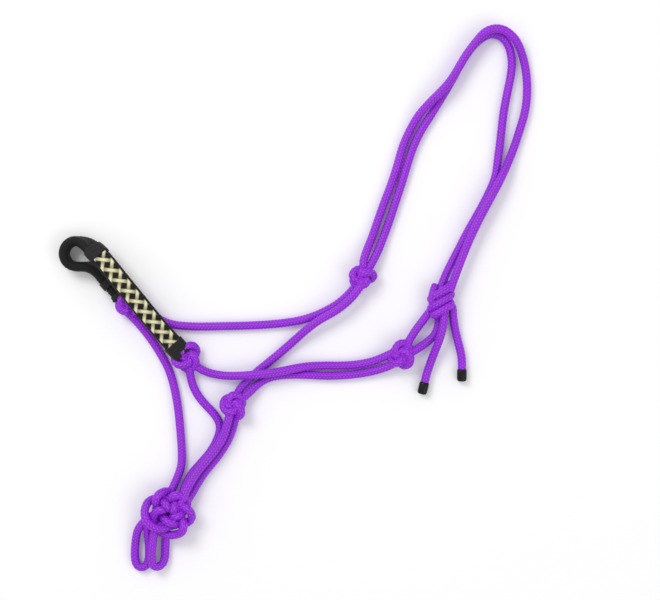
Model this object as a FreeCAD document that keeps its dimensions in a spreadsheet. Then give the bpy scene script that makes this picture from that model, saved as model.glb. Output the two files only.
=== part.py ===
"""Rope halter laid flat: one knotted rope, a braided noseband sleeve and dipped rope ends.

Millimetres, +Z up. The halter lies on the plane Z = 0 with its near (left) side on top,
the crown towards +X +Y and the nose towards -X. The origin is the middle of its footprint.
"""
import FreeCAD, Part

import math
import os

import Sketcher

from FreeCAD import Placement, Rotation, Vector

UP = Vector(0, 0, 1)

# Driving dimensions. Every size below comes from this table.
DIMENSIONS = [
    ("RopeDiameter", 8.0),
    ("LayoutShiftX", 0.4),
    ("LayoutShiftY", 0.1),
    ("JointClearance", 0.3),
    ("CheekKnotRadius", 11.0),
    ("CheekKnotLength", 27.0),
    ("ThroatKnotRadius", 11.5),
    ("ThroatKnotHalfSpan", 2.5),
    ("ThroatKnotLength", 25.0),
    ("NoseKnotRadius", 10.5),
    ("NoseKnotHalfSpan", 2.0),
    ("NoseKnotLength", 23.0),
    ("FiadorRadius", 12.0),
    ("FiadorHalfSpan", 10.0),
    ("FiadorLength", 51.0),
    ("TieKnotRadius", 10.0),
    ("TieKnotHalfSpan", 4.6),
    ("TieKnotLength", 27.0),
    ("KnotRounding", 5.0),
    ("CorePitch", 8.5),
    ("SleeveWall", 1.0),
    ("WhippingWall", 0.9),
    ("TurnRadius", 12.3),
    ("CapRadius", 4.6),
    ("CapLength", 11.0),
    ("CapDepth", 9.0),
    ("CapRounding", 1.5),
]

# Where each knot's middle lies, and the way its long axis points in plan, in degrees from +X.
CHEEK_AXIS_ANGLE = -63.1
KNOT_PLACES = {
    "right_cheek_knot": (62, 20, CHEEK_AXIS_ANGLE),
    "left_cheek_knot": (99, -53, CHEEK_AXIS_ANGLE),
    "throat_knot": (-58, -100, -15),
    "left_nose_knot": (-101, -57.5, 40),
    "right_nose_knot": (-159.5, -7, -50),
    "fiador_knot": (-120.5, -201, 0),
    "crown_tie_knot": (136, -1, 0),
}

# Routes of the rope, each a list of corners that tangent arcs round off.
ROUTES = {
    "crown_rope_outer": [
        (62, 30, 11), (66, 44, 8), (72, 58, 4), (77, 73, 4), (83, 90, 4), (90, 108, 4),
        (95.5, 125, 4), (100, 142, 4), (106.5, 157, 4), (115, 172, 6.5), (126, 184, 11), (138, 195.5, 12.4),
        (146, 205, 12.5), (153, 217, 12.5), (160.5, 229.5, 12.5), (169, 240.5, 12.5), (175.5, 248.3, 12.5),
        (183.5, 252.5, 12.5), (192.5, 252.4, 12.5), (200, 248.3, 12.2), (206.3, 242, 10.5), (211, 233.5, 7.2),
        (214.6, 223, 4.5), (216.7, 212, 4), (217.7, 200, 4), (217.2, 186, 4), (214.8, 172, 4), (211, 160, 4),
        (207, 147, 4), (202, 134, 5), (196, 120.5, 9), (190, 108, 12), (180, 90, 12.5),
        (170.5, 72, 12.5), (162.5, 55, 12.3), (156, 39, 12), (150, 23, 12), (144, 6, 11),
    ],
    "crown_rope_inner": [
        (65, 22, 11), (75, 39, 7), (82.5, 58, 4), (88, 73, 4), (93.5, 90, 4), (99.5, 108, 4),
        (104.5, 125, 4), (110, 142, 4), (117, 157, 4), (127, 172.5, 4), (136, 187, 4), (145, 202, 4),
        (152.5, 216, 4), (160, 229, 4), (168, 239, 4), (175.5, 245.6, 4), (184, 249, 4),
        (192.5, 247.3, 4), (198.7, 241, 4), (202, 232, 4), (203.4, 222, 4), (202.3, 210, 4), (199.5, 197, 4),
        (195, 174, 4), (192.5, 150, 4), (190, 131, 4), (188, 114, 4), (181, 98, 4),
        (172, 81, 4), (161.5, 63, 4), (153, 46, 4), (144.5, 30, 4), (138, 16, 6), (133, 2, 9),
    ],
    "tie_loop_upper": [(101, -49, 11), (109, -34.5, 8), (116, -25, 6), (123, -16, 6), (131, -5, 9)],
    "tie_loop_lower": [
        (101, -55, 11), (113, -48, 6.5), (123, -41.5, 4), (131.5, -34, 4), (135, -21, 4), (134, -6, 7.5),
    ],
    "tail_rope_left": [
        (138, -6, 11), (139, -17, 13.6), (137.5, -28, 13.8), (134, -40, 12.6), (129, -53, 7.5),
        (124.5, -66, 4.6), (121.9, -75, 4.6), (118.8, -88, 4.6),
    ],
    "tail_rope_right": [
        (147, -6, 9), (147.5, -17, 7.5), (149.5, -29, 5), (152.5, -41, 4.6), (155.3, -52, 4.6),
        (156.4, -60.5, 4.6), (156, -76, 4.6),
    ],
    "left_cheek_rope": [
        (-98, -60, 10), (-90, -66, 8.5), (-80, -70.5, 5.5), (-67, -72.7, 5.5), (-54, -72.5, 10.5),
        (-42, -71.5, 13), (-29, -70.3, 12.8), (-16, -68.5, 12.6), (-4, -66, 11.3), (8, -63.9, 7.3),
        (18, -63.3, 4.5), (30, -63, 4), (42, -63.2, 4), (56, -62.5, 4), (72, -59.5, 5.5),
        (86, -53.5, 9), (98, -47, 11),
    ],
    "left_throat_rope": [
        (-55, -98, 11), (-45, -89.5, 8), (-36.5, -81, 4.3), (-28, -75.3, 4), (-16, -72.2, 4),
        (0, -71.5, 4), (14, -72, 4), (28, -72.8, 4), (42, -72.5, 4), (57, -71.2, 4),
        (73, -68.5, 4.5), (88, -63.5, 8.5), (101, -56, 11),
    ],
    "right_cheek_rope": [
        (-158, -5, 9), (-149, -7, 6), (-137, -14, 4), (-121, -24, 4), (-100, -26.6, 4),
        (-71, -26.2, 4), (-41, -25.5, 4), (-13, -23.5, 4), (8, -20, 4), (25, -13.5, 4),
        (40, -5, 4), (50, 4, 4), (58, 14, 5), (63, 22, 7),
    ],
    "right_throat_rope": [
        (-59, -97, 10), (-54, -87, 7), (-46.5, -78, 4), (-38, -70, 4), (-28, -62, 4),
        (-14, -50.5, 4), (-2, -40, 5.5), (9, -30, 9.5), (22, -20, 12.4), (38, -11.5, 12.6),
        (51, -1, 12.8), (59, 9, 13), (64, 17, 12),
    ],
    "left_chin_rope": [
        (-100, -62, 10), (-99, -77, 5.5), (-92.5, -91, 4), (-85, -100, 4), (-76, -109, 4),
        (-70.5, -119.5, 4), (-73.5, -132, 4), (-80, -144, 4), (-88.6, -153.9, 4), (-97, -163, 4),
        (-103, -173, 4.5), (-107, -184, 7.5), (-109, -196, 12),
    ],
    "right_chin_rope": [
        (-160, -11, 9), (-151.5, -19, 5.5), (-141.5, -31, 4), (-133, -42.5, 4), (-126, -54, 4),
        (-120, -65, 4), (-115, -80, 4), (-111, -100, 4), (-108.7, -122, 4), (-107, -145, 4),
        (-107.5, -158, 4), (-112, -170, 4.8), (-117, -181, 8), (-122, -197, 12),
    ],
    "fiador_rope_inner": [
        (-60, -103, 12), (-63.5, -115, 13), (-67, -128, 12.3), (-74, -140, 12), (-83, -151, 12),
        (-91.5, -161, 12.5), (-98.5, -172, 14), (-104.5, -184, 16.5), (-110, -197, 15),
    ],
    "fiador_rope_outer": [
        (-55, -104, 9), (-57.5, -116, 4.5), (-61.5, -129, 4), (-68, -141, 4), (-76, -152, 4),
        (-85.5, -163, 4), (-92.5, -174, 5), (-98, -184, 8), (-105, -195, 11),
    ],
    "lead_loop_left": [
        (-146, -211, 9), (-151, -226, 5), (-151.7, -252.5, 4), (-138, -252.5, 4), (-138, -226, 5), (-140, -211, 8),
    ],
    "lead_loop_right": [
        (-131, -211, 12), (-133.5, -226, 13.2), (-135.5, -252, 12.8), (-123, -250.5, 4), (-122.5, -226, 5),
        (-121, -211, 9),
    ],
}

# The noseband's middle line: place, then the roll of its two cores about that line in degrees.
NOSE_LEFT_LEG = [
    (-101, -57, 12.0, 0),
    (-109, -48.5, 13.5, 0),
    (-115, -41.5, 16.0, 0),
    (-131, -22.5, 21.5, 0),
    (-148, -1, 25.5, 0),
    (-163, 17.5, 26.5, 0),
    (-173, 30, 25.5, 0),
    (-181, 39, 23.2, -8),
    (-189, 46.5, 18.6, -36),
    (-196.5, 52, 12.2, -66),
]
NOSE_RIGHT_LEG = [
    (-197.5, 30, 9.5, -92),
    (-190, 29, 9.1, -112),
    (-183.5, 26, 8.2, -140),
    (-177.5, 20, 6.8, -168),
    (-171.5, 13, 6.2, -180),
    (-165.5, 6.5, 6.4, -180),
    (-161.5, 0, 7.6, -180),
    (-159.5, -8, 9.5, -180),
]
TURN_CENTRE = (-205, 42)
TURN_HEIGHT = 9.5
TURN_ANGLES = [90, 118, 146, 180, 214, 242, 270]

doc = FreeCAD.newDocument("rope_halter")
sheet = doc.addObject("Spreadsheet::Sheet", "Dimensions")
for row, (alias, value) in enumerate(DIMENSIONS, start=1):
    sheet.set("A%d" % row, alias)
    sheet.set("B%d" % row, str(value))
    sheet.setAlias("B%d" % row, alias)
doc.recompute()

parts = []


def size(alias):
    """The value of one driving dimension."""
    return float(sheet.get(alias))


def laid(x, y, z):
    """A point of the layout, moved so that the origin is the middle of the footprint."""
    return Vector(x + size("LayoutShiftX"), y + size("LayoutShiftY"), z)


def keep(shape_object, label):
    """Give a sub-part its name and count it."""
    shape_object.Label = label
    parts.append(shape_object)
    return shape_object


def feature(label, shape):
    """A sub-part whose shape is worked out here."""
    item = doc.addObject("Part::Feature", label)
    item.Shape = shape
    return keep(item, label)


# ---------------------------------------------------------------- knots

def origin_plane(body, role):
    """One of a body's own origin planes."""
    return [item for item in body.Origin.OriginFeatures if item.Role == role][0]


def attached_sketch(body, label, role):
    """An empty sketch on one of a body's origin planes."""
    sketch = body.newObject("Sketcher::SketchObject", label + "_outline")
    sketch.AttachmentSupport = (origin_plane(body, role), [""])
    sketch.MapMode = "FlatFace"
    return sketch


def draw_circle(sketch, radius_alias):
    """A circle about the sketch's origin."""
    radius = size(radius_alias)
    sketch.addGeometry(Part.Circle(Vector(0, 0, 0), UP, radius))
    sketch.addConstraint(Sketcher.Constraint("Coincident", 0, 3, -1, 1))
    index = sketch.addConstraint(Sketcher.Constraint("Radius", 0, radius))
    sketch.setExpression("Constraints[%d]" % index, "Dimensions.%s" % radius_alias)


def draw_slot(sketch, radius_alias, half_span_alias):
    """A slot outline lying along the sketch's X axis: two half circles and two lines."""
    radius = size(radius_alias)
    span = size(half_span_alias)
    right = Part.Circle(Vector(span, 0, 0), UP, radius)
    left = Part.Circle(Vector(-span, 0, 0), UP, radius)
    sketch.addGeometry(Part.ArcOfCircle(right, -math.pi / 2, math.pi / 2))
    sketch.addGeometry(Part.LineSegment(Vector(span, radius, 0), Vector(-span, radius, 0)))
    sketch.addGeometry(Part.ArcOfCircle(left, math.pi / 2, 3 * math.pi / 2))
    sketch.addGeometry(Part.LineSegment(Vector(-span, -radius, 0), Vector(span, -radius, 0)))
    for first, second in ((0, 1), (1, 2), (2, 3), (3, 0)):
        sketch.addConstraint(Sketcher.Constraint("Tangent", first, 2, second, 1))
    sketch.addConstraint(Sketcher.Constraint("Symmetric", 0, 3, 2, 3, -1, 1))
    sketch.addConstraint(Sketcher.Constraint("Equal", 0, 2))
    sketch.addConstraint(Sketcher.Constraint("PointOnObject", 0, 3, -1))
    reach = sketch.addConstraint(Sketcher.Constraint("DistanceX", -1, 1, 0, 3, span))
    sketch.setExpression("Constraints[%d]" % reach, "Dimensions.%s" % half_span_alias)
    across = sketch.addConstraint(Sketcher.Constraint("Radius", 0, radius))
    sketch.setExpression("Constraints[%d]" % across, "Dimensions.%s" % radius_alias)


def end_edges(shape, half_length):
    """Names of the edges round both flat ends of a solid padded along X."""
    names = []
    for number, edge in enumerate(shape.Edges, start=1):
        box = edge.BoundBox
        if abs(abs(box.XMin) - half_length) < 0.01 and abs(box.XMax - box.XMin) < 0.01:
            names.append("Edge%d" % number)
    return names


def knot(label, radius_alias, length_alias, half_span_alias=None):
    """A knot as a rounded lump that lies on the ground, with its long axis level."""
    body = doc.addObject("PartDesign::Body", label)
    sketch = attached_sketch(body, label, "YZ_Plane")
    if half_span_alias:
        draw_slot(sketch, radius_alias, half_span_alias)
    else:
        draw_circle(sketch, radius_alias)
    pad = body.newObject("PartDesign::Pad", label + "_pad")
    pad.Profile = sketch
    pad.SideType = "Symmetric"
    pad.setExpression("Length", "Dimensions.%s" % length_alias)
    doc.recompute()
    rounding = body.newObject("PartDesign::Fillet", label + "_rounding")
    rounding.Base = (pad, end_edges(pad.Shape, size(length_alias) / 2))
    rounding.setExpression("Radius", "Dimensions.KnotRounding")
    body.Tip = rounding
    x, y, angle = KNOT_PLACES[label]
    body.Placement = Placement(laid(x, y, size(radius_alias)), Rotation(UP, angle))
    doc.recompute()
    return keep(body, label)


# ---------------------------------------------------------------- rope

def rounded_path(points, label):
    """Straight runs joined by tangent arcs as large as the two runs allow."""
    edges = []
    radii = []
    start = points[0]
    for before, corner, after in zip(points, points[1:], points[2:]):
        to_before = before - corner
        to_after = after - corner
        reach = 0.45 * min(to_before.Length, to_after.Length)
        inward = corner + to_before.normalize() * reach
        outward = corner + to_after.normalize() * reach
        half_turn = (math.pi - to_before.getAngle(to_after)) / 2
        radius = reach / math.tan(half_turn)
        bisector = (to_before + to_after).normalize()
        middle = corner + bisector * (radius / math.cos(half_turn) - radius)
        edges.append(Part.LineSegment(start, inward).toShape())
        edges.append(Part.Arc(inward, middle, outward).toShape())
        radii.append(radius)
        start = outward
    edges.append(Part.LineSegment(start, points[-1]).toShape())
    wire = Part.Wire(edges)
    print("%-20s length %6.1f  radii %s" % (label, wire.Length, " ".join("%.0f" % r for r in radii)))
    return wire


def rope_tube(label):
    """A round rope along one route, checked against its section times its length."""
    points = [laid(*point) for point in ROUTES[label]]
    wire = rounded_path(points, label)
    radius = size("RopeDiameter") / 2
    ring = Part.Wire([Part.makeCircle(radius, points[0], points[1] - points[0])])
    tube = wire.makePipeShell([ring], True, False)
    expected = math.pi * radius ** 2 * wire.Length
    if abs(tube.Volume / expected - 1) > 0.02:
        raise RuntimeError("%s: volume %.0f, expected %.0f" % (label, tube.Volume, expected))
    return tube


def rope(label, *cutters):
    """A stretch of rope that ends where it meets the given solids."""
    tube = rope_tube(label)
    for cutter in cutters:
        tube = tube.cut(cutter)
    return feature(label, max(tube.Solids, key=lambda solid: solid.Volume))


def swing_room(label, radius_alias, length_alias, lower_end_alias=None):
    """The space round a knot's hinge axis that a swinging rope has to stay out of."""
    x, y, angle = KNOT_PLACES[label]
    radius = size(radius_alias)
    along = Rotation(UP, angle).multVec(Vector(1, 0, 0))
    middle = laid(x, y, radius)
    if lower_end_alias:
        middle = middle - Vector(0, size(lower_end_alias), 0)
    length = size(length_alias) + 40
    return Part.makeCylinder(radius + size("JointClearance"), length, middle - along * (length / 2), along)


# ---------------------------------------------------------------- noseband

def nose_stations():
    """Places and rolls along the noseband, with the turn over the nose as part of a circle."""
    turn = []
    for angle in TURN_ANGLES:
        x = TURN_CENTRE[0] + size("TurnRadius") * math.cos(math.radians(angle))
        y = TURN_CENTRE[1] + size("TurnRadius") * math.sin(math.radians(angle))
        turn.append((x, y, TURN_HEIGHT, -90))
    return NOSE_LEFT_LEG + turn + NOSE_RIGHT_LEG


def station_frames():
    """For each station: its place, the way across both cores, and the way through them."""
    stations = nose_stations()
    frames = []
    for number, (x, y, z, roll) in enumerate(stations):
        before = stations[max(number - 1, 0)]
        after = stations[min(number + 1, len(stations) - 1)]
        ahead = Vector(*after[:3]) - Vector(*before[:3])
        ahead.normalize()
        across = ahead.cross(UP).normalize()
        turned = Rotation(ahead, roll)
        through = turned.multVec(across.cross(ahead))
        frames.append((laid(x, y, z), turned.multVec(across), through))
    return frames


def band_outline(frame, half_pitch, radius):
    """A closed slot outline round both cores at one station."""
    middle, across, through = frame
    right = middle + across * half_pitch
    left = middle - across * half_pitch
    rise = through * radius
    return Part.Wire([
        Part.Arc(right - rise, right + across * radius, right + rise).toShape(),
        Part.LineSegment(right + rise, left + rise).toShape(),
        Part.Arc(left + rise, left - across * radius, left - rise).toShape(),
        Part.LineSegment(left - rise, right - rise).toShape(),
    ])


def band(frames, first, last, radius):
    """A solid slot-shaped band between two stations."""
    half_pitch = size("CorePitch") / 2
    outlines = [band_outline(frame, half_pitch, radius) for frame in frames[first:last + 1]]
    return Part.makeLoft(outlines, True, True)


def core_outline(frame, side):
    """A closed round outline of one core at one station, in four matching quarters."""
    middle, across, through = frame
    centre = middle + across * (side * size("CorePitch") / 2)
    places = []
    for angle in range(0, 361, 45):
        reach = across * math.cos(math.radians(angle)) + through * math.sin(math.radians(angle))
        places.append(centre + reach * (size("RopeDiameter") / 2))
    quarters = zip(places[::2], places[1::2], places[2::2])
    return Part.Wire([Part.Arc(*quarter).toShape() for quarter in quarters])


def core(frames, first, last, side):
    """One of the two core ropes between two stations."""
    outlines = [core_outline(frame, side) for frame in frames[first:last + 1]]
    return Part.makeLoft(outlines, True, True)


def noseband(left_knot, right_knot):
    """Cores, sleeves, the wrap over the nose, and the whippings."""
    frames = station_frames()
    last = len(frames) - 1
    turn_first = 8
    turn_last = last - 3
    sleeve_radius = size("RopeDiameter") / 2 + size("SleeveWall")
    whipping_radius = sleeve_radius + size("WhippingWall")
    stretches = (("left", 0, turn_first), ("turn", turn_first, turn_last), ("right", turn_last, last))
    cores = {}
    for name, first, final in stretches:
        for word, side in (("upper", 1), ("lower", -1)):
            solid = core(frames, first, final, side).cut(left_knot).cut(right_knot)
            cores[name, word] = feature("nose_core_%s_%s" % (name, word), solid.Solids[0]).Shape
    sleeves = (("left", 1, turn_first), ("turn", turn_first, turn_last), ("right", turn_last, last - 1))
    for name, first, final in sleeves:
        solid = band(frames, first, final, sleeve_radius).cut(left_knot).cut(right_knot)
        solid = solid.cut(cores[name, "upper"]).cut(cores[name, "lower"])
        feature("nose_sleeve_%s" % name, max(solid.Solids, key=lambda item: item.Volume))
    whippings = (
        ("left_low", 1, 2), ("left_high", turn_first - 1, turn_first),
        ("right_high", turn_last - 1, turn_last), ("right_low", last - 2, last - 1),
    )
    for name, first, final in whippings:
        collar = band(frames, first, final, whipping_radius).cut(band(frames, first, final, sleeve_radius))
        collar = collar.cut(left_knot).cut(right_knot)
        feature("nose_whipping_%s" % name, max(collar.Solids, key=lambda item: item.Volume))


# ---------------------------------------------------------------- rope ends

def cap(label, route_label):
    """A dipped cup over the end of a tail, with the rope's end inside it."""
    body = doc.addObject("PartDesign::Body", label)
    outer = attached_sketch(body, label, "XY_Plane")
    draw_circle(outer, "CapRadius")
    pad = body.newObject("PartDesign::Pad", label + "_pad")
    pad.Profile = outer
    pad.setExpression("Length", "Dimensions.CapLength")
    doc.recompute()
    bore = attached_sketch(body, label + "_bore", "XY_Plane")
    draw_circle(bore, "RopeDiameter")
    bore.setExpression("Constraints[1]", "Dimensions.RopeDiameter / 2")
    pocket = body.newObject("PartDesign::Pocket", label + "_pocket")
    pocket.Profile = bore
    pocket.Reversed = True
    pocket.setExpression("Length", "Dimensions.CapDepth")
    doc.recompute()
    far_edge = [
        "Edge%d" % number for number, edge in enumerate(pocket.Shape.Edges, start=1)
        if edge.BoundBox.ZMin > size("CapLength") - 0.01
    ]
    rounding = body.newObject("PartDesign::Fillet", label + "_rounding")
    rounding.Base = (pocket, far_edge)
    rounding.setExpression("Radius", "Dimensions.CapRounding")
    body.Tip = rounding
    end = laid(*ROUTES[route_label][-1])
    ahead = (end - laid(*ROUTES[route_label][-2])).normalize()
    start = end - ahead * size("CapDepth")
    body.Placement = Placement(start, Rotation(UP, ahead))
    doc.recompute()
    return keep(body, label)


right_cheek = knot("right_cheek_knot", "CheekKnotRadius", "CheekKnotLength").Shape
left_cheek = knot("left_cheek_knot", "CheekKnotRadius", "CheekKnotLength").Shape
throat = knot("throat_knot", "ThroatKnotRadius", "ThroatKnotLength", "ThroatKnotHalfSpan").Shape
left_nose = knot("left_nose_knot", "NoseKnotRadius", "NoseKnotLength", "NoseKnotHalfSpan").Shape
right_nose = knot("right_nose_knot", "NoseKnotRadius", "NoseKnotLength", "NoseKnotHalfSpan").Shape
fiador = knot("fiador_knot", "FiadorRadius", "FiadorLength", "FiadorHalfSpan").Shape
tie = knot("crown_tie_knot", "TieKnotRadius", "TieKnotLength", "TieKnotHalfSpan").Shape

right_cheek_room = swing_room("right_cheek_knot", "CheekKnotRadius", "CheekKnotLength")
left_cheek_room = swing_room("left_cheek_knot", "CheekKnotRadius", "CheekKnotLength")
tie_room = swing_room("crown_tie_knot", "TieKnotRadius", "TieKnotLength", "TieKnotHalfSpan")
fiador_room = swing_room("fiador_knot", "FiadorRadius", "FiadorLength", "FiadorHalfSpan")

rope("crown_rope_outer", right_cheek_room, tie)
rope("crown_rope_inner", right_cheek_room, tie)
rope("tie_loop_upper", left_cheek_room, tie)
rope("tie_loop_lower", left_cheek_room, tie)
rope("tail_rope_left", tie_room)
rope("tail_rope_right", tie_room)
cap("tail_cap_left", "tail_rope_left")
cap("tail_cap_right", "tail_rope_right")
rope("left_cheek_rope", left_nose, left_cheek)
rope("left_throat_rope", throat, left_cheek)
rope("right_cheek_rope", right_nose, right_cheek)
rope("right_throat_rope", throat, right_cheek)
rope("left_chin_rope", left_nose, fiador)
rope("right_chin_rope", right_nose, fiador)
rope("fiador_rope_inner", throat, fiador)
rope("fiador_rope_outer", throat, fiador)
rope("lead_loop_left", fiador_room)
rope("lead_loop_right", fiador_room)
noseband(left_nose, right_nose)

doc.recompute()
for item in doc.Objects:
    if "Invalid" in item.State or "Error" in item.State:
        raise RuntimeError("%s did not compute: %s" % (item.Label, item.State))
whole = None
for part in parts:
    if part.Shape.isNull() or not part.Shape.isValid():
        raise RuntimeError("%s has no valid shape" % part.Label)
    whole = part.Shape.BoundBox if whole is None else whole.united(part.Shape.BoundBox)
print("parts %d  box %s" % (len(parts), whole))

os.makedirs("parts", exist_ok=True)
for part in parts:
    part.Shape.exportStep("parts/%s.step" % part.Label)
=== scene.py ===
"""Looks for the rope halter: braided rope along every route, tied knots, a plaited noseband."""
import math

import bpy
import numpy as np
from mathutils import Matrix, Vector


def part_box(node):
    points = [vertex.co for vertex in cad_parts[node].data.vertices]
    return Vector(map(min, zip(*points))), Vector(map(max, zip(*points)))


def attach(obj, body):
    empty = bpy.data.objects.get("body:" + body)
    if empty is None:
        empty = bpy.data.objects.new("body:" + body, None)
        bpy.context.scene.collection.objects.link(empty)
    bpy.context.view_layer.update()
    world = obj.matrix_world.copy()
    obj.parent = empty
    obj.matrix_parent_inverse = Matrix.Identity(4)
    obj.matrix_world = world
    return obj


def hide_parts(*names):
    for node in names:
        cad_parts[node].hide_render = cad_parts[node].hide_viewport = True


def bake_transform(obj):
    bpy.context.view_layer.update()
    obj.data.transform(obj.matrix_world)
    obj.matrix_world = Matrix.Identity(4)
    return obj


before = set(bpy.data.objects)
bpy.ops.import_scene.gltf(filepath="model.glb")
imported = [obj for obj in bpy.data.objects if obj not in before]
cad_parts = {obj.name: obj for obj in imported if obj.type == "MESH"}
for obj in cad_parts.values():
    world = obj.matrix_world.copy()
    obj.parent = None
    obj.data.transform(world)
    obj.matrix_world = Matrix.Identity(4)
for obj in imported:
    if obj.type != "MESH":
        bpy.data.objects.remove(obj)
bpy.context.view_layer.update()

MM = 0.001

# ---------------------------------------------------------------- camera, floor and light

CAMERA_HEIGHT = 1.45
CAMERA_PLACE = (0.0325, -0.0013)
VIEW_WIDTH = 0.6224
SENSOR = 36.0
FLOOR_SIZE = 8
FLOOR_DROP = 0.0003
WORLD_STRENGTH = 0.72
# Each lamp's name, place, size and power.
LAMPS = [
    ("key_lamp", (-0.9, 1.0, 1.6), 0.9, 17),
    ("fill_lamp", (1.2, -0.8, 1.5), 1.2, 7),
]


def add_camera():
    """Straight down on the laid halter, VIEW_WIDTH across at the floor."""
    data = bpy.data.cameras.new("camera")
    data.sensor_width = SENSOR
    data.lens = SENSOR * CAMERA_HEIGHT / VIEW_WIDTH
    data.clip_end = 20
    camera = bpy.data.objects.new("camera", data)
    camera.location = (CAMERA_PLACE[0], CAMERA_PLACE[1], CAMERA_HEIGHT)
    bpy.context.collection.objects.link(camera)
    bpy.context.scene.camera = camera


def add_floor():
    """A plain pale floor, just under the halter."""
    bpy.ops.mesh.primitive_plane_add(size=FLOOR_SIZE, location=(0, 0, -FLOOR_DROP))
    floor = bpy.context.object
    floor.name = "floor"
    material = bpy.data.materials.new("pale_floor")
    material.use_nodes = True
    shader = material.node_tree.nodes["Principled BSDF"]
    shader.inputs["Base Color"].default_value = (0.93, 0.93, 0.935, 1)
    shader.inputs["Roughness"].default_value = 0.9
    floor.data.materials.append(material)


def add_area(name, place, size, power):
    """One soft lamp that looks at the middle of the floor."""
    data = bpy.data.lights.new(name, "AREA")
    data.size = size
    data.energy = power
    lamp = bpy.data.objects.new(name, data)
    lamp.location = place
    lamp.rotation_euler = (-Vector(place)).to_track_quat("-Z", "Y").to_euler()
    bpy.context.collection.objects.link(lamp)


def add_light():
    """A bright studio: white all round, with two soft lamps for shape."""
    world = bpy.data.worlds.new("studio")
    world.use_nodes = True
    background = world.node_tree.nodes["Background"]
    background.inputs["Color"].default_value = (1, 1, 1, 1)
    background.inputs["Strength"].default_value = WORLD_STRENGTH
    bpy.context.scene.world = world
    for name, place, size, power in LAMPS:
        add_area(name, place, size, power)
    bpy.context.scene.view_settings.view_transform = "Standard"


# ---------------------------------------------------------------- routes of the rope, in millimetres

LAYOUT_SHIFT = (0.4, 0.1)
ROPE_RADIUS = 4.0

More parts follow.
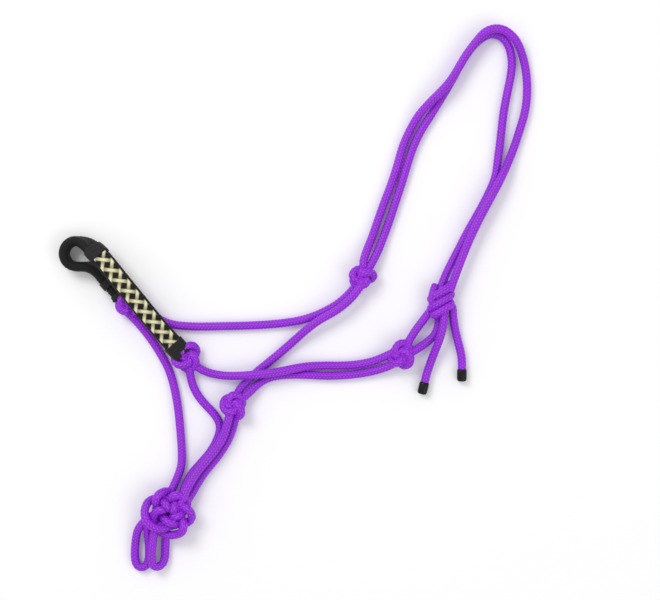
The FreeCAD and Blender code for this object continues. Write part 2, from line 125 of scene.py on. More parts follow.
ROUTES = {
    "crown_rope_outer": [
        (62, 30, 11), (66, 44, 8), (72, 58, 4), (77, 73, 4), (83, 90, 4), (90, 108, 4),
        (95.5, 125, 4), (100, 142, 4), (106.5, 157, 4), (115, 172, 6.5), (126, 184, 11), (138, 195.5, 12.4),
        (146, 205, 12.5), (153, 217, 12.5), (160.5, 229.5, 12.5), (169, 240.5, 12.5), (175.5, 248.3, 12.5),
        (183.5, 252.5, 12.5), (192.5, 252.4, 12.5), (200, 248.3, 12.2), (206.3, 242, 10.5), (211, 233.5, 7.2),
        (214.6, 223, 4.5), (216.7, 212, 4), (217.7, 200, 4), (217.2, 186, 4), (214.8, 172, 4), (211, 160, 4),
        (207, 147, 4), (202, 134, 5), (196, 120.5, 9), (190, 108, 12), (180, 90, 12.5),
        (170.5, 72, 12.5), (162.5, 55, 12.3), (156, 39, 12), (150, 23, 12), (144, 6, 11),
    ],
    "crown_rope_inner": [
        (65, 22, 11), (75, 39, 7), (82.5, 58, 4), (88, 73, 4), (93.5, 90, 4), (99.5, 108, 4),
        (104.5, 125, 4), (110, 142, 4), (117, 157, 4), (127, 172.5, 4), (136, 187, 4), (145, 202, 4),
        (152.5, 216, 4), (160, 229, 4), (168, 239, 4), (175.5, 245.6, 4), (184, 249, 4),
        (192.5, 247.3, 4), (198.7, 241, 4), (202, 232, 4), (203.4, 222, 4), (202.3, 210, 4), (199.5, 197, 4),
        (195, 174, 4), (192.5, 150, 4), (190, 131, 4), (188, 114, 4), (181, 98, 4),
        (172, 81, 4), (161.5, 63, 4), (153, 46, 4), (144.5, 30, 4), (138, 16, 6), (133, 2, 9),
    ],
    "tie_loop_upper": [(101, -49, 11), (109, -34.5, 8), (116, -25, 6), (123, -16, 6), (131, -5, 9)],
    "tie_loop_lower": [
        (101, -55, 11), (113, -48, 6.5), (123, -41.5, 4), (131.5, -34, 4), (135, -21, 4), (134, -6, 7.5),
    ],
    "tail_rope_left": [
        (138, -6, 11), (139, -17, 13.6), (137.5, -28, 13.8), (134, -40, 12.6), (129, -53, 7.5),
        (124.5, -66, 4.6), (121.9, -75, 4.6), (118.8, -88, 4.6),
    ],
    "tail_rope_right": [
        (147, -6, 9), (147.5, -17, 7.5), (149.5, -29, 5), (152.5, -41, 4.6), (155.3, -52, 4.6),
        (156.4, -60.5, 4.6), (156, -76, 4.6),
    ],
    "left_cheek_rope": [
        (-98, -60, 10), (-90, -66, 8.5), (-80, -70.5, 5.5), (-67, -72.7, 5.5), (-54, -72.5, 10.5),
        (-42, -71.5, 13), (-29, -70.3, 12.8), (-16, -68.5, 12.6), (-4, -66, 11.3), (8, -63.9, 7.3),
        (18, -63.3, 4.5), (30, -63, 4), (42, -63.2, 4), (56, -62.5, 4), (72, -59.5, 5.5),
        (86, -53.5, 9), (98, -47, 11),
    ],
    "left_throat_rope": [
        (-55, -98, 11), (-45, -89.5, 8), (-36.5, -81, 4.3), (-28, -75.3, 4), (-16, -72.2, 4),
        (0, -71.5, 4), (14, -72, 4), (28, -72.8, 4), (42, -72.5, 4), (57, -71.2, 4),
        (73, -68.5, 4.5), (88, -63.5, 8.5), (101, -56, 11),
    ],
    "right_cheek_rope": [
        (-158, -5, 9), (-149, -7, 6), (-137, -14, 4), (-121, -24, 4), (-100, -26.6, 4),
        (-71, -26.2, 4), (-41, -25.5, 4), (-13, -23.5, 4), (8, -20, 4), (25, -13.5, 4),
        (40, -5, 4), (50, 4, 4), (58, 14, 5), (63, 22, 7),
    ],
    "right_throat_rope": [
        (-59, -97, 10), (-54, -87, 7), (-46.5, -78, 4), (-38, -70, 4), (-28, -62, 4),
        (-14, -50.5, 4), (-2, -40, 5.5), (9, -30, 9.5), (22, -20, 12.4), (38, -11.5, 12.6),
        (51, -1, 12.8), (59, 9, 13), (64, 17, 12),
    ],
    "left_chin_rope": [
        (-100, -62, 10), (-99, -77, 5.5), (-92.5, -91, 4), (-85, -100, 4), (-76, -109, 4),
        (-70.5, -119.5, 4), (-73.5, -132, 4), (-80, -144, 4), (-88.6, -153.9, 4), (-97, -163, 4),
        (-103, -173, 4.5), (-107, -184, 7.5), (-109, -196, 12),
    ],
    "right_chin_rope": [
        (-160, -11, 9), (-151.5, -19, 5.5), (-141.5, -31, 4), (-133, -42.5, 4), (-126, -54, 4),
        (-120, -65, 4), (-115, -80, 4), (-111, -100, 4), (-108.7, -122, 4), (-107, -145, 4),
        (-107.5, -158, 4), (-112, -170, 4.8), (-117, -181, 8), (-122, -197, 12),
    ],
    "fiador_rope_inner": [
        (-60, -103, 12), (-63.5, -115, 13), (-67, -128, 12.3), (-74, -140, 12), (-83, -151, 12),
        (-91.5, -161, 12.5), (-98.5, -172, 14), (-104.5, -184, 16.5), (-110, -197, 15),
    ],
    "fiador_rope_outer": [
        (-55, -104, 9), (-57.5, -116, 4.5), (-61.5, -129, 4), (-68, -141, 4), (-76, -152, 4),
        (-85.5, -163, 4), (-92.5, -174, 5), (-98, -184, 8), (-105, -195, 11),
    ],
    "lead_loop_left": [
        (-146, -211, 9), (-151, -226, 5), (-151.7, -252.5, 4), (-138, -252.5, 4), (-138, -226, 5),
        (-140, -211, 8),
    ],
    "lead_loop_right": [
        (-131, -211, 12), (-133.5, -226, 13.2), (-135.5, -252, 12.8), (-123, -250.5, 4), (-122.5, -226, 5),
        (-121, -211, 9),
    ],
}


def laid(points):
    """Layout places in millimetres as places in the row frame, in metres."""
    shift = np.array([LAYOUT_SHIFT[0], LAYOUT_SHIFT[1], 0])
    return (np.array(points, float) + shift) * MM


def smooth_line(points):
    """The smooth NURBS line that a route's points control, read back as close points."""
    curve = bpy.data.curves.new("line", "CURVE")
    curve.dimensions = "3D"
    spline = curve.splines.new("NURBS")
    spline.points.add(len(points) - 1)
    for target, point in zip(spline.points, points):
        target.co = (point[0], point[1], point[2], 1)
    spline.order_u = 3
    spline.use_endpoint_u = True
    spline.resolution_u = 16
    holder = bpy.data.objects.new("line", curve)
    bpy.context.collection.objects.link(holder)
    bpy.context.view_layer.update()
    mesh = bpy.data.meshes.new_from_object(holder)
    line = np.array([vertex.co for vertex in mesh.vertices], float)
    bpy.data.objects.remove(holder)
    bpy.data.meshes.remove(mesh)
    bpy.data.curves.remove(curve)
    return line


def lengths_along(line):
    """How far each point of a line is from its start, along it."""
    return np.concatenate([[0], np.cumsum(np.linalg.norm(np.diff(line, axis=0), axis=1))])


def even_steps(line, step):
    """The same line with points an even distance apart, and how far along it each one is."""
    along = lengths_along(line)
    count = max(int(round(along[-1] / step)), 4)
    at = np.linspace(0, along[-1], count + 1)
    return np.stack([np.interp(at, along, line[:, axis]) for axis in range(3)], axis=1), at


def carried_frames(line):
    """Two directions across the line at each point, carried along with no twist."""
    tangents = np.gradient(line, axis=0)
    tangents /= np.linalg.norm(tangents, axis=1)[:, None]
    side = np.cross(tangents[0], (0, 0, 1.0))
    if np.linalg.norm(side) < 1e-3:
        side = np.array([1.0, 0, 0])
    sides = np.empty_like(line)
    for number, tangent in enumerate(tangents):
        side = side - tangent * side.dot(tangent)
        side = side / np.linalg.norm(side)
        sides[number] = side
    return sides, np.cross(sides, tangents)


# ---------------------------------------------------------------- braided surfaces

STRAND_FULLNESS = 1.9
TUCK_DEPTH = 0.85
TUCK_SHARPNESS = 2.4
YARN_SPREAD = 4
STRAND_SHIFT = 3.7


def strand_top(across):
    """Height of a round strand, by how far across it each point lies, from -0.5 to 0.5."""
    return np.sqrt(np.clip(1 - (STRAND_FULLNESS * across) ** 2, 0, 1))


def yarn_place(across, lengthways, strand, height):
    """What the materials read: a place on its own strand's yarn, and the height there."""
    return np.stack([across * YARN_SPREAD, lengthways + strand * STRAND_SHIFT, height], axis=-1)


def braid_relief(around, along, carriers):
    """Height of a two-over, two-under braid, and where on its strand each point lies.

    around runs 0 to 1 about the rope, along counts turns of a strand down its length.
    """
    first = carriers * (around + along)
    second = carriers * (around - along)
    phase = np.mod(np.floor(first) + np.floor(second), 4)
    first_on_top = phase < 2
    across = np.where(first_on_top, first % 1, second % 1) - 0.5
    lengthways = np.where(first_on_top, phase + second % 1, phase - 2 + first % 1) / 2 - 0.5
    tucked = 1 - TUCK_DEPTH * (2 * np.abs(lengthways)) ** TUCK_SHARPNESS
    strand = np.where(first_on_top, np.floor(first), np.floor(second) + 0.5)
    return strand_top(across) * tucked, across, lengthways, strand


def swept_mesh(name, rings, lay, tint=None):
    """A closed mesh from rings of points, with each one's place on its strand kept for the material."""
    count, around, _ = rings.shape
    vertices = rings.reshape(-1, 3)
    index = np.arange(count * around).reshape(count, around)
    quads = np.stack([
        index[:-1], np.roll(index, -1, 1)[:-1], np.roll(index, -1, 1)[1:], index[1:],
    ], axis=-1).reshape(-1, 4)
    faces = [quad.tolist() for quad in quads]
    lay = lay.reshape(-1, 3)
    vertices = np.vstack([vertices, rings[0].mean(0), rings[-1].mean(0)])
    lay = np.vstack([lay, lay[0], lay[-1]])
    first, last = count * around, count * around + 1
    for number in range(around):
        following = (number + 1) % around
        faces.append([first, int(index[0, following]), int(index[0, number])])
        faces.append([last, int(index[-1, number]), int(index[-1, following])])
    mesh = bpy.data.meshes.new(name)
    mesh.from_pydata(vertices.tolist(), [], faces)
    attribute = mesh.attributes.new("lay", "FLOAT_VECTOR", "POINT")
    attribute.data.foreach_set("vector", lay.astype(np.float32).ravel())
    if tint is not None:
        colour = np.concatenate([tint.ravel(), [0.0] * (len(vertices) - tint.size)])
        shade = mesh.attributes.new("tint", "FLOAT", "POINT")
        shade.data.foreach_set("value", colour.astype(np.float32))
    mesh.polygons.foreach_set("use_smooth", np.ones(len(mesh.polygons), bool))
    mesh.update()
    piece = bpy.data.objects.new(name, mesh)
    bpy.context.collection.objects.link(piece)
    return piece


ROPE_SIDES = 50
ROPE_STEP = 0.55 * MM
ROPE_CARRIERS = 10
ROPE_TURN = 31 * MM
ROPE_RELIEF = 0.5


def braided_rope(name, line, radius=ROPE_RADIUS, start_turn=0.0):
    """A braided rope with real relief along a smooth line."""
    points, at = even_steps(line, ROPE_STEP)
    sides, rises = carried_frames(points)
    around = np.arange(ROPE_SIDES) / ROPE_SIDES
    turns = at / ROPE_TURN + start_turn
    grid_around, grid_along = np.meshgrid(around, turns)
    height, across, lengthways, strand = braid_relief(grid_around, grid_along, ROPE_CARRIERS)
    reach = (radius - ROPE_RELIEF * (1 - height)) * MM
    angle = 2 * math.pi * grid_around
    rings = points[:, None, :] + reach[..., None] * (
        np.cos(angle)[..., None] * sides[:, None, :] + np.sin(angle)[..., None] * rises[:, None, :]
    )
    return swept_mesh(name, rings, yarn_place(across, lengthways, strand, height))


# ---------------------------------------------------------------- materials

def material_nodes(name, roughness=0.5, sheen=0.0):
    """A new material, its nodes, links and shader."""
    material = bpy.data.materials.new(name)
    material.use_nodes = True
    shader = material.node_tree.nodes["Principled BSDF"]
    shader.inputs["Roughness"].default_value = roughness
    shader.inputs["Sheen Weight"].default_value = sheen
    return material, material.node_tree.nodes, material.node_tree.links, shader


def ramp(nodes, stops):
    """A colour ramp with the given places and colours."""
    node = nodes.new("ShaderNodeValToRGB")
    elements = node.color_ramp.elements
    while len(elements) < len(stops):
        elements.new(0.5)
    for element, (place, colour) in zip(elements, stops):
        element.position = place
        element.color = (*colour, 1)
    return node


def attribute(nodes, name):
    """A node that reads one of the mesh's own attributes."""
    node = nodes.new("ShaderNodeAttribute")
    node.attribute_name = name
    return node


def strand_height(nodes, links, lay):
    """The height that the mesh keeps for each point, as a socket."""
    parts = nodes.new("ShaderNodeSeparateXYZ")
    links.new(lay.outputs["Vector"], parts.inputs[0])
    return parts.outputs["Z"]


def noise(nodes, links, space, scale, detail=2.0):
    """Noise in the given space, as a socket."""
    node = nodes.new("ShaderNodeTexNoise")
    node.inputs["Scale"].default_value = scale
    node.inputs["Detail"].default_value = detail
    links.new(space, node.inputs["Vector"])
    return node.outputs["Fac"]


def overlaid(nodes, links, under, over, factor):
    """One colour laid over another, as a socket."""
    node = nodes.new("ShaderNodeMix")
    node.data_type = "RGBA"
    node.blend_type = "OVERLAY"
    node.inputs["Factor"].default_value = factor
    links.new(under, node.inputs["A"])
    links.new(over, node.inputs["B"])
    return node.outputs["Result"]


def add_bump(nodes, links, shader, height, strength, distance):
    """Fine relief that is only in the material."""
    node = nodes.new("ShaderNodeBump")
    node.inputs["Strength"].default_value = strength
    node.inputs["Distance"].default_value = distance
    links.new(height, node.inputs["Height"])
    links.new(node.outputs["Normal"], shader.inputs["Normal"])


def strand_material(name, valley_painted_shade, middle, crest_painted_highlight, roughness, sheen):
    """Braided fibre: painted shade between the strands, a painted highlight on their crowns, with fine yarn
    lines.
    """
    material, nodes, links, shader = material_nodes(name, roughness, sheen)
    lay = attribute(nodes, "lay")
    # By strand height: painted shade in the valleys between strands, a painted highlight on their crowns.
    shade = ramp(nodes, [(0.0, valley_painted_shade), (0.55, middle), (1.0, crest_painted_highlight)])
    links.new(strand_height(nodes, links, lay), shade.inputs["Fac"])
    yarn_space = nodes.new("ShaderNodeMapping")
    yarn_space.inputs["Scale"].default_value = (6.0, 1.2, 0.0)
    links.new(lay.outputs["Vector"], yarn_space.inputs["Vector"])
    yarn = noise(nodes, links, yarn_space.outputs[0], scale=2.2, detail=3.0)
    place = nodes.new("ShaderNodeTexCoord")
    cloud = noise(nodes, links, place.outputs["Object"], scale=55.0, detail=4.0)
    fine = overlaid(nodes, links, shade.outputs["Color"], yarn, factor=0.35)
    broad = overlaid(nodes, links, fine, cloud, factor=0.18)
    links.new(broad, shader.inputs["Base Color"])
    add_bump(nodes, links, shader, yarn, strength=0.35, distance=0.0003)
    return material


def rope_material():
    """Violet polyester rope."""
    # The first colour is painted shade between the strands, the last a painted highlight on their crowns.
    material = strand_material(
        "violet_rope", (0.03, 0.0004, 0.13), (0.25, 0.002, 0.60), (0.47, 0.03, 0.92), 0.5, 0.14)
    shader = material.node_tree.nodes["Principled BSDF"]
    shader.inputs["Sheen Tint"].default_value = (0.8, 0.45, 1.0, 1)
    shader.inputs["Sheen Roughness"].default_value = 0.4
    return material


add_camera()
add_floor()
add_light()
VIOLET = rope_material()


# ---------------------------------------------------------------- rope stretches

def dress(piece, material, slot, *nodes):
    """Give a piece its material, and hide the CAD nodes it stands for; the slot is not used."""
    piece.data.materials.append(material)
    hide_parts(*nodes)


def knot_centre(node):
    """The middle of a CAD knot."""
    low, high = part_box(node)
    return (low + high) / 2


# Where a strand goes on inside its knot, before its route starts.
INSIDE_KNOT = {
    "crown_rope_outer": [(67, 18, 9)],
    "lead_loop_left": [(-134, -203, 9)],
    "tail_rope_right": [(139, 4, 7)],
}


def full_line(node):
    """The smooth middle line of one stretch, with its start inside the knot."""
    return smooth_line(laid(INSIDE_KNOT.get(node, []) + ROUTES[node]))


def rope_stretch(node):
    """The braided rope that stands for one CAD stretch."""
    line = full_line(node)
    piece = braided_rope(node + "_braid", line)
    dress(piece, VIOLET, "halter_rope", node)
    return piece


FIXED_STRETCHES = [
    "left_cheek_rope", "left_throat_rope", "right_cheek_rope", "right_throat_rope",
    "left_chin_rope", "right_chin_rope", "fiador_rope_inner", "fiador_rope_outer",
]
for node in FIXED_STRETCHES:
    piece = rope_stretch(node)
    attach(piece, "halter")

# The crown ropes and tie loops, with their placing baked into their meshes.
for node in ("crown_rope_outer", "crown_rope_inner", "tie_loop_upper", "tie_loop_lower"):
    piece = rope_stretch(node)
    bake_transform(piece)


# ---------------------------------------------------------------- knots

def placed(local, centre, turn, tilt=0.0):
    """Local knot points, in millimetres, turned in plan and set at a place."""
    spin = Matrix.Rotation(math.radians(turn), 3, "Z") @ Matrix.Rotation(math.radians(tilt), 3, "X")
    return np.array([list(centre + (spin @ Vector(point)) * MM) for point in local])


def rosette(laps, lobes, middle, swing, rise, stretch=(1, 1), points=72, bearings=None):
    """A closed knot that runs round its middle, swinging in and out and over and under.

    bearings gives the way each lobe points, in degrees, the first again at the end.
    """
    waves = lobes if laps == 2 else 2 * lobes
    even = np.arange(lobes + 1) * 360 / lobes
    result = []
    for number in range(points + 1):
        turn = 2 * math.pi * laps * number / points
        reach = middle + swing * math.cos(lobes * turn / laps)
        height = rise * math.sin(waves * turn / laps)
        angle = turn
        if bearings:
            angle = math.radians(np.interp(math.degrees(turn) % 360, even, bearings))
        result.append((reach * math.cos(angle) * stretch[0], reach * math.sin(angle) * stretch[1], height))
    return result


BRAID_START = 0.13


def knot_piece(name, node, strands, body, radius=ROPE_RADIUS):
    """A tied knot, made of the rope that winds through it, in one piece."""
    made = []
    for number, strand in enumerate(strands):
        line, _ = even_steps(smooth_line(strand), MM)
        made.append(braided_rope("%s_%d" % (name, number), line, radius, BRAID_START * number))
    bpy.ops.object.select_all(action="DESELECT")
    for item in made:
        item.select_set(True)
    bpy.context.view_layer.objects.active = made[0]
    if len(made) > 1:
        bpy.ops.object.join()
    piece = made[0]
    piece.name = name
    dress(piece, VIOLET, "halter_rope", node)
    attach(piece, body)
    return piece


# An overhand knot's loops, as shares of its reach, and its rope's radius in millimetres.
OUTER_MIDDLE, OUTER_SWING, OUTER_RISE = 0.64, 0.36, 4.2
INNER_MIDDLE, INNER_SWING, INNER_RISE = 0.40, 0.22, 2.6
INNER_POINTS = 48
INNER_TURN = 60
PULLED_RADIUS = 3.8


def overhand(name, node, turn, reach, stretch, tilt, shift):
    """A tight overhand knot, tied in the doubled rope."""
    outer = rosette(2, 3, OUTER_MIDDLE * reach, OUTER_SWING * reach, OUTER_RISE, stretch)
    inner = rosette(2, 3, INNER_MIDDLE * reach, INNER_SWING * reach, INNER_RISE, stretch, INNER_POINTS)
    at = knot_centre(node) + Vector(shift) * MM
    strands = [placed(outer, at, turn, tilt), placed(inner, at, turn + INNER_TURN, tilt)]
    knot_piece(name, node, strands, "halter", PULLED_RADIUS)


# Each overhand knot: where it is tied, its turn, reach, stretch, tilt and shift off the CAD knot.
OVERHANDS = [
    ("right_cheek", 8, 10.0, (1.1, 0.8), 12, (0, 0, 0)),
    ("left_cheek", 75, 10.4, (1.1, 1.02), -14, (0, 0, 0)),
    ("throat", -62, 10.2, (1.12, 0.95), 10, (0, 0, 0)),
    ("left_nose", 58, 10.4, (1.2, 1.05), 8, (-1, 2.5, 0)),
    ("right_nose", -40, 8.2, (1.15, 0.85), 6, (1.5, 0.5, -0.5)),
]
for place, turn, reach, stretch, tilt, shift in OVERHANDS:
    overhand(place + "_overhand", place + "_knot", turn, reach, stretch, tilt, shift)

FIADOR_LOBES = [-8, 50, 100, 155, 298, 352]
fiador_outer = rosette(
    laps=3, lobes=5, middle=13.4, swing=8.0, rise=4.6, stretch=(1.04, 0.98), points=150, bearings=FIADOR_LOBES)
fiador_inner = rosette(laps=3, lobes=4, middle=8.6, swing=4.6, rise=3.0, stretch=(1.05, 1.0), points=120)
fiador_at = knot_centre("fiador_knot")
knot_piece("fiador_weave", "fiador_knot", [
    placed(fiador_outer, fiador_at + Vector((1.5, 0, 2.6)) * MM, turn=0),
    placed(fiador_inner, fiador_at + Vector((1.5, 0, -4.0)) * MM, turn=40),
], "halter")

WRAP_TUCK = 6.0
WRAP_POINTS = 20
WRAP_START = 0.3


def wrap(turns, reach, rise, pitch, slope):
    """Turns of rope wound round a core that lies along Y, with both ends tucked into it."""
    result = []
    for number in range(int(turns * WRAP_POINTS) + 1):
        angle = 2 * math.pi * (number / WRAP_POINTS - WRAP_START)
        down = pitch * (number / WRAP_POINTS - turns / 2)
        result.append((reach * math.cos(angle), -down + slope * math.cos(angle), rise * math.sin(angle)))
    first, last = result[0][1], result[-1][1]
    return [(0, first - WRAP_TUCK, 0)] + result + [(0, last + WRAP_TUCK, 0)]


tie_wrap = wrap(turns=2.7, reach=9.4, rise=6.0, pitch=8.6, slope=4.4)
knot_piece("crown_sheet_bend", "crown_tie_knot", [
    placed(tie_wrap, knot_centre("crown_tie_knot"), turn=0),
    laid([(131, 12, 8), (128, 5, 13), (127.5, -4, 13), (131, -11, 9), (136.5, -10.5, 6.5)]),
    laid([(144, 12, 11), (140, 2, 8), (139.5, -4, 8), (138.5, -9, 8.5)]),
], "crown")

# ---------------------------------------------------------------- lead loops

for node in ("lead_loop_left", "lead_loop_right"):
    piece = rope_stretch(node)
    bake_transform(piece)

# ---------------------------------------------------------------- tails and caps

def cap_material():
    """Black dip, a little lumpy, with a soft shine."""
    material, nodes, links, shader = material_nodes("black_dip")
    shader.inputs["Base Color"].default_value = (0.003, 0.003, 0.0035, 1)
    shader.inputs["Specular IOR Level"].default_value = 0.25
    place = nodes.new("ShaderNodeTexCoord")
    lumps = noise(nodes, links, place.outputs["Object"], scale=420.0)
    add_bump(nodes, links, shader, lumps, strength=0.3, distance=0.0004)
    rough = ramp(nodes, [(0.3, (0.25, 0.25, 0.25)), (0.7, (0.45, 0.45, 0.45))])
    links.new(lumps, rough.inputs["Fac"])
    links.new(rough.outputs["Color"], shader.inputs["Roughness"])
    return material


BLACK_DIP = cap_material()


# The cap's outline: how far each place is beyond the rope's end, and its radius there.
CAP_PROFILE = [
    (-9.6, 3.9), (-9.2, 4.35), (-7.5, 4.55), (-4.0, 4.6), (-0.5, 4.55), (0.9, 4.3), (1.7, 3.5),
    (2.05, 2.1), (2.1, 0.4),
]
CAP_SIDES = 36
CAP_RIPPLE = 0.015
RIPPLE_START = 0.6
END_POINTS = 12


def dipped_cap(name, node, line, body):
    """A dipped end: a thin collar that creeps up the rope, a full body and a rounded tip."""
    ahead = line[-1] - line[-END_POINTS]
    ahead /= np.linalg.norm(ahead)
    stations = np.array([line[-1] + ahead * place * MM for place, _ in CAP_PROFILE])
    sides, rises = carried_frames(stations)
    around = 2 * math.pi * np.arange(CAP_SIDES) / CAP_SIDES
    ripple = 1 + CAP_RIPPLE * np.sin(3 * around + RIPPLE_START)
    rings = []
    for station, (_, reach), side, rise in zip(stations, CAP_PROFILE, sides, rises):
        outward = np.cos(around)[:, None] * side + np.sin(around)[:, None] * rise
        rings.append(station + MM * reach * ripple[:, None] * outward)
    rings = np.array(rings)
    piece = swept_mesh(name, rings, np.zeros(rings.shape))
    dress(piece, BLACK_DIP, "rope_dip", node)
    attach(piece, body)
    return piece


for side in ("left", "right"):
    body = "tail_" + side
    line = full_line("tail_rope_" + side)
    cap = dipped_cap("dipped_end_" + side, "tail_cap_" + side, line, body)
    piece = rope_stretch("tail_rope_" + side)
    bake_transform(piece)

# ---------------------------------------------------------------- noseband

NOSE_LEFT_LEG = [
    (-101, -57, 12.0, 0),
    (-109, -48.5, 13.5, 0),
    (-115, -41.5, 16.0, 0),
    (-131, -22.5, 21.5, 0),
    (-148, -1, 25.5, 0),
    (-163, 17.5, 26.5, 0),
    (-173, 30, 25.5, 0),
    (-181, 39, 23.2, -8),
    (-189, 46.5, 18.6, -36),
    (-196.5, 52, 12.2, -66),
]
NOSE_RIGHT_LEG = [
    (-197.5, 30, 9.5, -92),
    (-190, 29, 9.1, -112),
    (-183.5, 26, 8.2, -140),
    (-177.5, 20, 6.8, -168),
    (-171.5, 13, 6.2, -180),
    (-165.5, 6.5, 6.4, -180),
    (-161.5, 0, 7.6, -180),
    (-159.5, -8, 9.5, -180),
]
TURN_CENTRE = (-205, 42)
TURN_RADIUS = 12.3
TURN_HEIGHT = 9.5
TURN_ANGLES = [90, 118, 146, 180, 214, 242, 270]
CORE_PITCH = 8.5
SLEEVE_RADIUS = 5.0


def nose_stations():
    """Places and rolls along the noseband's middle line, as in the CAD model."""
    turn = [
        (TURN_CENTRE[0] + TURN_RADIUS * math.cos(math.radians(angle)),
         TURN_CENTRE[1] + TURN_RADIUS * math.sin(math.radians(angle)), TURN_HEIGHT, -90)
        for angle in TURN_ANGLES
    ]
    return NOSE_LEFT_LEG + turn + NOSE_RIGHT_LEG


STATIONS = nose_stations()
NOSE_LINE = smooth_line(laid([station[:3] for station in STATIONS]))
ROLL_LINE = smooth_line([(number, station[3], 0) for number, station in enumerate(STATIONS)])


def nose_frames(step):
    """Even points along the noseband, with the way across it and the way through it."""
    points, at = even_steps(NOSE_LINE, step)
    share = np.linspace(0, 1, len(ROLL_LINE))
    stationwise = np.linspace(0, 1, len(NOSE_LINE))
    along = lengths_along(NOSE_LINE)
    roll = np.radians(np.interp(np.interp(at, along, stationwise), share, ROLL_LINE[:, 1]))
    tangents = np.gradient(points, axis=0)
    tangents /= np.linalg.norm(tangents, axis=1)[:, None]
    flat = np.cross(tangents, (0, 0, 1.0))
    flat /= np.linalg.norm(flat, axis=1)[:, None]
    rise = np.cross(flat, tangents)
    across = flat * np.cos(roll)[:, None] + rise * np.sin(roll)[:, None]
    return points, at, across, np.cross(across, tangents)


def slot_section(count, half_pitch, radius):
    """Places and outward directions round a slot outline, evenly spaced."""
    straight = 2 * half_pitch
    bend = math.pi * radius
    total = 2 * straight + 2 * bend
    places = []
    for number in range(count):
        distance = total * number / count
        if distance < bend:
            angle = -math.pi / 2 + distance / radius
            places.append((half_pitch, math.cos(angle), math.sin(angle)))
        elif distance < bend + straight:
            places.append((half_pitch - (distance - bend), 0, 1))
        elif distance < 2 * bend + straight:
            angle = math.pi / 2 + (distance - bend - straight) / radius
            places.append((-half_pitch, math.cos(angle), math.sin(angle)))
        else:
            places.append((-half_pitch + distance - 2 * bend - straight, 0, -1))
    return np.array(places)


BAND_SIDES = 112
BAND_STEP = 0.55 * MM
BAND_CARRIERS = 14
BAND_TURN = 44 * MM
WAIST_DEPTH = 0.7
WAIST_POWER = 1.5
PLAIT_HEIGHT = 0.62
BAND_GIRTH = 4 * (CORE_PITCH / 2) + 2 * math.pi * SLEEVE_RADIUS


def station_share(index):
    """How far along the noseband one of its stations lies, from 0 to 1."""
    place = laid([STATIONS[index][:3]])[0]
    along = lengths_along(NOSE_LINE)
    return float(along[np.argmin(np.linalg.norm(NOSE_LINE - place, axis=1))] / along[-1])


def waist(section, radius):
    """How far each place of the section dips into the crease between the two cores."""
    inside = 1 - np.abs(section[:, 0]) / (CORE_PITCH / 2)
    flat = np.abs(section[:, 2]) > 0.999
    return np.where(flat, WAIST_DEPTH * np.clip(inside, 0, 1) ** WAIST_POWER, 0)


def plait(around, at):
    """The plain plaited sleeve: height, place across and along the strand, strand, tint."""
    grid_around, grid_along = np.meshgrid(around, at / BAND_TURN)
    height, over, lengthways, strand = braid_relief(grid_around, grid_along, BAND_CARRIERS)
    return PLAIT_HEIGHT * height, over, lengthways, strand, np.zeros(height.shape)


# The straw cords: half width and period in millimetres, heights as shares of the relief.
PALE_HALF_WIDTH = 1.8
PALE_PERIOD = 12.1
PALE_EDGE = 0.55
PALE_HEIGHT = 0.86
PALE_WEAVE = 0.22
PALE_FOOT = 0.35
GROOVE_DEPTH = 0.12
GROOVE_WIDTH = 0.18


def chain(around, at):
    """The plaited sleeve with two straw cords that zigzag and cross, as a chain of diamonds."""
    height, over, lengthways, strand, tint = plait(around, at)
    quarter = BAND_GIRTH / 4
    girth = (around * BAND_GIRTH - math.pi * SLEEVE_RADIUS - CORE_PITCH / 2 + quarter) % (2 * quarter)
    side, along = np.meshgrid(girth - quarter, at / MM)
    rising = (side - along) / PALE_PERIOD
    falling = (side + along) / PALE_PERIOD
    rising_turn, falling_turn = np.round(rising), np.round(falling)
    rising_off = (rising - rising_turn) * PALE_PERIOD / math.sqrt(2) / PALE_HALF_WIDTH
    falling_off = (falling - falling_turn) * PALE_PERIOD / math.sqrt(2) / PALE_HALF_WIDTH
    rising_top = PALE_HEIGHT + PALE_WEAVE * np.cos(math.pi * (falling - rising_turn))
    falling_top = PALE_HEIGHT - PALE_WEAVE * np.cos(math.pi * (rising - falling_turn))
    within = np.abs(side) < PALE_PERIOD / 2 + PALE_EDGE * PALE_HALF_WIDTH
    for off, top, turn in ((rising_off, rising_top, rising), (falling_off, falling_top, falling)):
        groove = 1 - GROOVE_DEPTH * np.exp(-(off / GROOVE_WIDTH) ** 2)
        ridge = np.sqrt(np.clip(1 - off ** 2, 0, 1)) * groove
        raised = np.where(within & (np.abs(off) < 1), PALE_FOOT + (top - PALE_FOOT) * ridge, -1)
        shown = raised > height
        height = np.where(shown, raised, height)
        over = np.where(shown, off / 2, over)
        lengthways = np.where(shown, turn % 1, lengthways)
        tint = np.where(shown, 1.0, tint)
    return height, over, lengthways, strand, tint


TWINE_PITCH = 1.3 * MM
TWINE_YARN = 20


def twine(around, at):
    """Turns of whipping twine, side by side."""
    grid_around, grid_at = np.meshgrid(around, at)
    turns = grid_at / TWINE_PITCH + grid_around
    over = turns % 1 - 0.5
    height = strand_top(over)
    return height, over, grid_around * TWINE_YARN, np.floor(turns), np.zeros(height.shape)


def band_piece(name, first, last, radius, depth, surface):
    """A stretch of the flat band between two shares of the noseband's length."""
    points, at, across, through = nose_frames(BAND_STEP)
    share = at / at[-1]
    keep = (share >= first) & (share <= last)
    points, at, across, through = points[keep], at[keep], across[keep], through[keep]
    section = slot_section(BAND_SIDES, CORE_PITCH / 2, radius)
    height, over, lengthways, strand, tint = surface(np.arange(BAND_SIDES) / BAND_SIDES, at)
    reach = radius - depth * (1 - height) - waist(section, radius)[None, :]
    offset_across = section[None, :, 0] + reach * section[None, :, 1]
    offset_through = reach * section[None, :, 2]
    rings = points[:, None, :] + MM * (
        offset_across[..., None] * across[:, None, :] + offset_through[..., None] * through[:, None, :]
    )
    return swept_mesh(name, rings, yarn_place(over, lengthways, strand, height), tint)


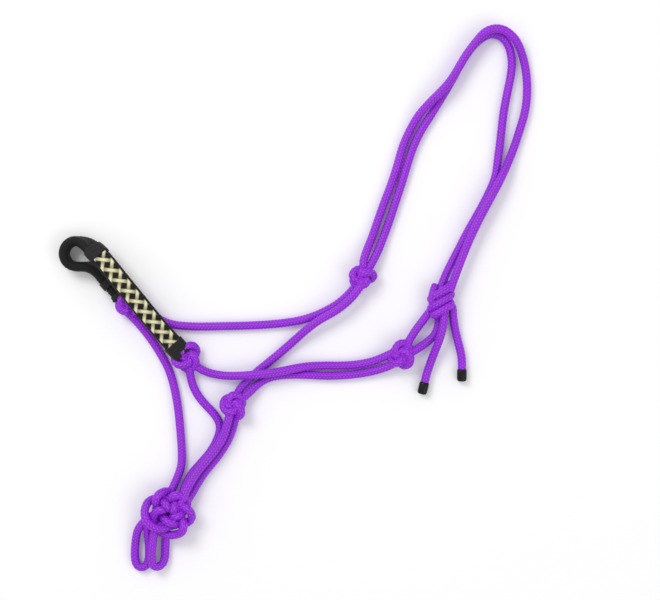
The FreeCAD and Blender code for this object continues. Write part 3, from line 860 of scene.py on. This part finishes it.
def plait_material(name):
    """Black and straw plaiting: the tint says which strands are straw."""
    # The first colour is painted shade between the black strands, the last a painted highlight on their
    # crowns.
    material = strand_material(
        name, (0.0006, 0.0006, 0.0007), (0.0045, 0.0045, 0.005), (0.016, 0.016, 0.018), 0.62, 0.05)
    nodes = material.node_tree.nodes
    links = material.node_tree.links
    shader = nodes["Principled BSDF"]
    shader.inputs["Specular IOR Level"].default_value = 0.22
    dark = shader.inputs["Base Color"].links[0].from_socket
    tint = attribute(nodes, "tint")
    # Straw colour, with painted shade darkening the cords' low edges and a painted highlight on their crowns.
    straw_and_painted_light = ramp(nodes, [(0.4, (0.08, 0.07, 0.03)), (0.75, (0.42, 0.39, 0.22)), (1.0, (0.74, 0.71, 0.48))])
    links.new(strand_height(nodes, links, attribute(nodes, "lay")), straw_and_painted_light.inputs["Fac"])
    choose = nodes.new("ShaderNodeMix")
    choose.data_type = "RGBA"
    links.new(tint.outputs["Fac"], choose.inputs["Factor"])
    links.new(dark, choose.inputs["A"])
    links.new(straw_and_painted_light.outputs["Color"], choose.inputs["B"])
    links.new(choose.outputs["Result"], shader.inputs["Base Color"])
    return material


PLAIT = plait_material("plaited_noseband")
LAST_STATION = len(STATIONS) - 1
TURN_FIRST = 8
TURN_LAST = LAST_STATION - 3
SLEEVE_LIFT = 0.1
SLEEVE_RELIEF = 0.9
WHIPPING_LIFT = 0.9
TWINE_RELIEF = 0.5
SLEEVES = [
    ("patterned_sleeve", "left", 1, TURN_FIRST, chain, "patterned_braid"),
    ("turn_sleeve", "turn", TURN_FIRST, TURN_LAST, plait, "black_braid"),
    ("right_sleeve", "right", TURN_LAST, LAST_STATION - 1, plait, "black_braid"),
]
WHIPPINGS = [
    ("left_low", 1, 2), ("left_high", TURN_FIRST - 1, TURN_FIRST),
    ("right_high", TURN_LAST - 1, TURN_LAST), ("right_low", LAST_STATION - 2, LAST_STATION - 1),
]


def band_share(index):
    """Where a sleeve or whipping starts or ends: the first runs half way on into its knot."""
    return station_share(index) * (0.5 if index == 1 else 1)


for name, stretch, first, last, surface, slot in SLEEVES:
    sleeve = band_piece(name, band_share(first), band_share(last), SLEEVE_RADIUS + SLEEVE_LIFT, SLEEVE_RELIEF,
                        surface)
    dress(sleeve, PLAIT, slot, "nose_sleeve_" + stretch, "nose_core_%s_upper" % stretch,
          "nose_core_%s_lower" % stretch)
    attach(sleeve, "halter")
for word, first, last in WHIPPINGS:
    whipping = band_piece("whipping_" + word, band_share(first), band_share(last),
                          SLEEVE_RADIUS + WHIPPING_LIFT, TWINE_RELIEF, twine)
    dress(whipping, PLAIT, "black_twine", "nose_whipping_" + word)
    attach(whipping, "halter")
